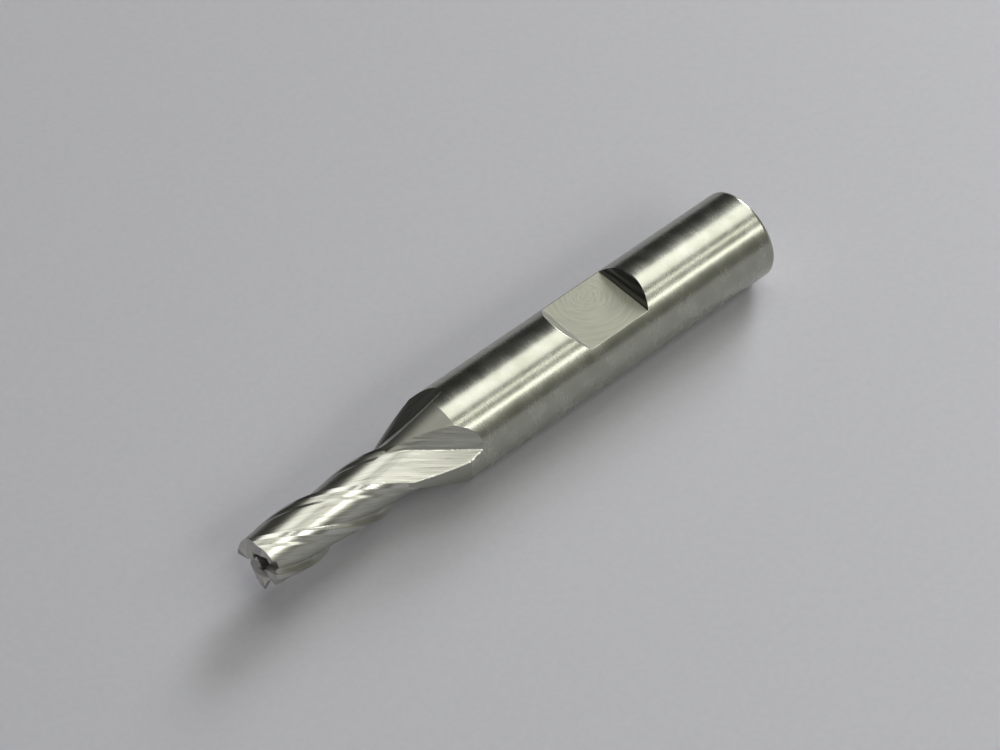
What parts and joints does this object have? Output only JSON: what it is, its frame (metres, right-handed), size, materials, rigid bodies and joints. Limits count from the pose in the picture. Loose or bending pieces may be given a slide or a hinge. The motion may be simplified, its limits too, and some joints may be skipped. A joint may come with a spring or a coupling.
{
  "type": "end mill",
  "caption": "Right-hand helical end mill with square end teeth, a conical neck and a larger plain shank that has one clamping flat.",
  "frame": {"origin": "centre of the rear end face of the shank, on the tool axis", "axes": "+X along the tool axis from the shank to the cutting end, +Z square to the clamping flat and up, +Y completes a right-handed frame"},
  "size_m": [0.0619, 0.0096, 0.0096],
  "materials": {
    "ground_steel": "centreless-ground high-speed steel, satin with fine circumferential grinding marks",
    "fluted_steel": "flutes ground bright, with fine grinding marks along the grooves and sharp edges"
  },
  "bodies": {
    "root": {"shank": "ground_steel", "shoulder": "ground_steel", "cutting_head": "fluted_steel"}
  },
  "joints": []
}
